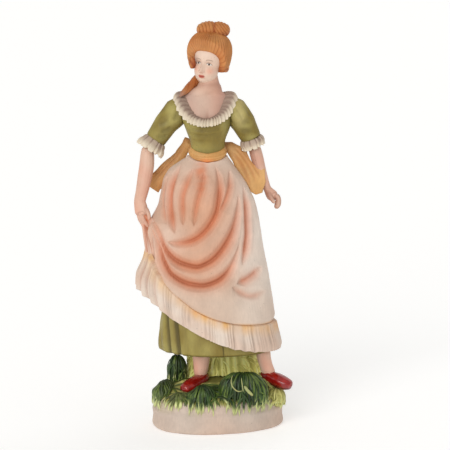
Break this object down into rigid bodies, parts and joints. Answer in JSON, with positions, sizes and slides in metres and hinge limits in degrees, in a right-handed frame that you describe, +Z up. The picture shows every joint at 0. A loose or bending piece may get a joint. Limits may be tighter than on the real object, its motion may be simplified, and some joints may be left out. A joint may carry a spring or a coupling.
{
  "type": "porcelain figurine",
  "caption": "Painted bisque porcelain lady in a ruffled dress, standing on a grassy oval base and lifting her skirt.",
  "frame": {"origin": "on the table, below the middle of the whole figure", "axes": "+Z up, the lady faces -Y, +X towards her left hand"},
  "size_m": [0.0971, 0.0647, 0.2502],
  "materials": {
    "clay": "unglazed bisque, pinkish beige",
    "grass_light": "matt painted bisque, yellow green",
    "grass_dark": "painted bisque, dark green",
    "skin": "satin painted bisque, pale flesh",
    "red_gloss": "glossy red glaze",
    "green_cloth": "matt painted bisque, olive green",
    "white_cloth": "matt painted bisque, cream white",
    "peach_cloth": "matt painted bisque, cream shaded with peach",
    "yellow_cloth": "matt painted bisque, ochre",
    "hair": "matt painted bisque, ginger"
  },
  "bodies": {
    "root": {"base_plinth": "clay", "grass_mound": "grass_light", "grass_column": "grass_light", "tuft_back_left": "grass_dark", "tuft_far_left": "grass_dark", "tuft_front_left": "grass_dark", "tuft_front_centre": "grass_dark", "tuft_small": "grass_dark", "tuft_front_right": "grass_light", "tuft_under_shoe": "grass_light", "right_leg": "skin", "left_leg": "skin", "right_shoe": "red_gloss", "left_shoe": "red_gloss", "petticoat": "green_cloth", "overskirt": "peach_cloth", "skirt_flounce": "white_cloth", "skirt_gather": "peach_cloth", "waist_sash": "yellow_cloth", "sash_knot": "yellow_cloth", "sash_bow_left": "yellow_cloth", "sash_bow_right": "yellow_cloth", "bodice": "green_cloth", "neck_and_chest": "skin", "neck_ruffle": "white_cloth", "right_sleeve": "green_cloth", "left_sleeve": "green_cloth", "right_cuff": "white_cloth", "left_cuff": "white_cloth", "right_forearm": "skin", "left_forearm": "skin", "right_hand": "skin", "left_hand": "skin", "head": "skin", "hair": "hair", "topknot": "hair", "right_curl": "hair", "left_curl": "hair", "shoulder_lock": "hair"}
  },
  "joints": []
}
